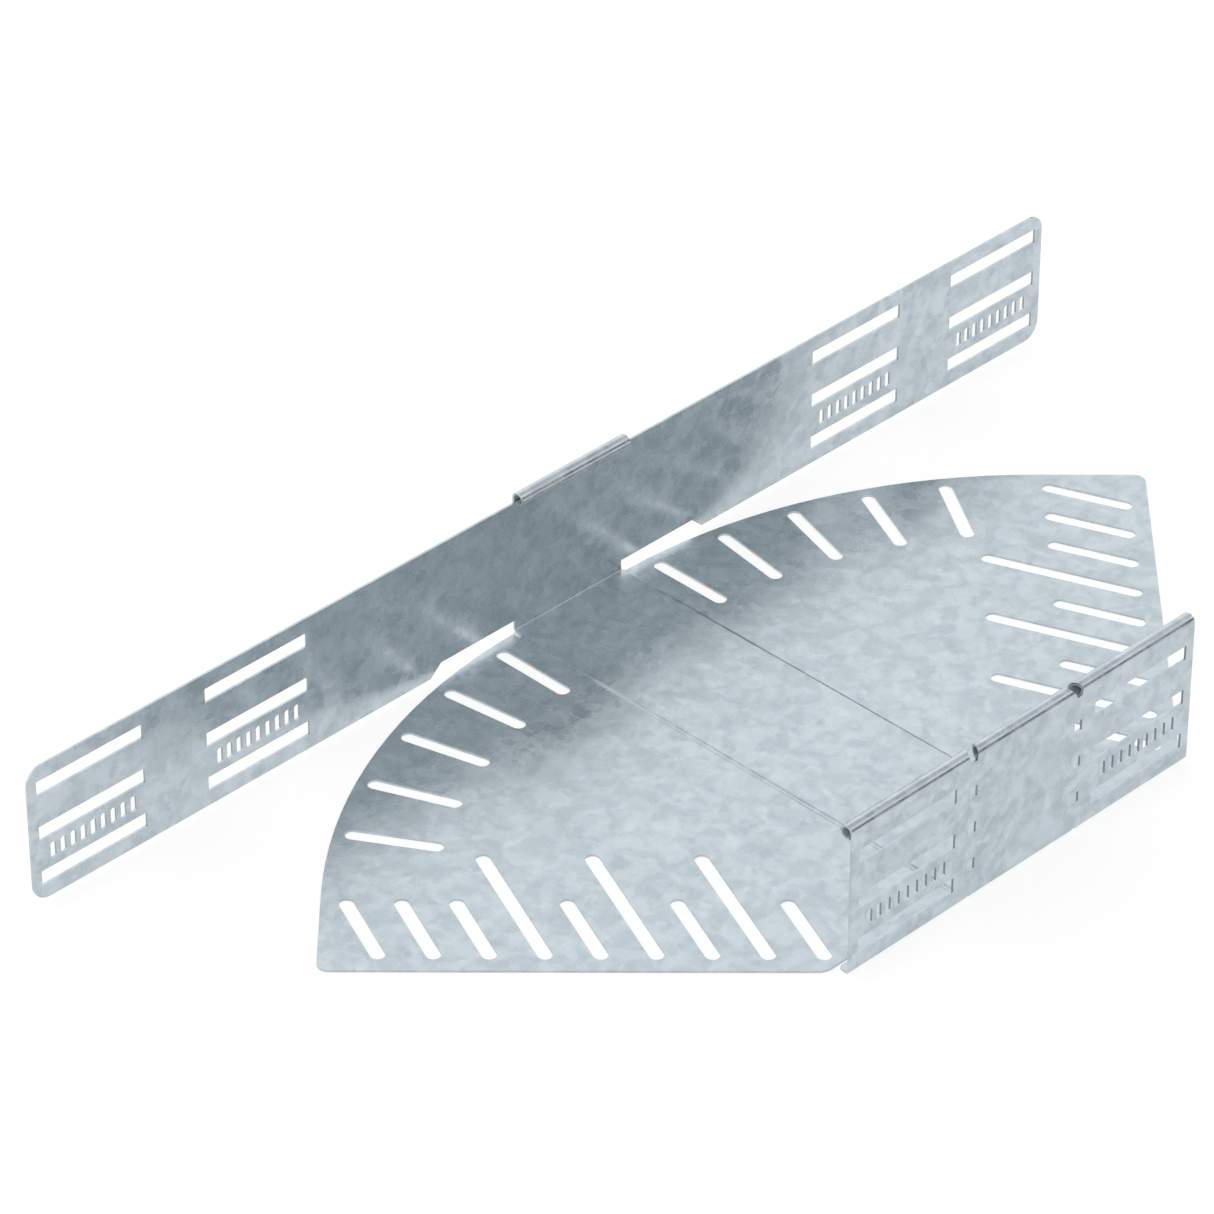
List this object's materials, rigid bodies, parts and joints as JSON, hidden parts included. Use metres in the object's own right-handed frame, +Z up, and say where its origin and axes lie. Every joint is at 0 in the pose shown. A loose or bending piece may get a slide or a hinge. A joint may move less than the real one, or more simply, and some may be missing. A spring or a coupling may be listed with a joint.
{
  "type": "cable tray bend",
  "caption": "Adjustable flat bend for a perforated cable tray, one folded steel sheet: slotted fan floor, short inner rail and long outer rail with slots, rolled top edges.",
  "frame": {"origin": "under the middle of the bend, on the surface that the undersides of the two fans rest on", "axes": "+X along the side rails, +Y from the short inner rail to the long outer rail, +Z up"},
  "size_m": [0.7076, 0.3086, 0.0862],
  "materials": {
    "zinc_coated_steel": "zinc spangle, satin"
  },
  "bodies": {
    "root": {"bend_sheet": "zinc_coated_steel"}
  },
  "joints": []
}
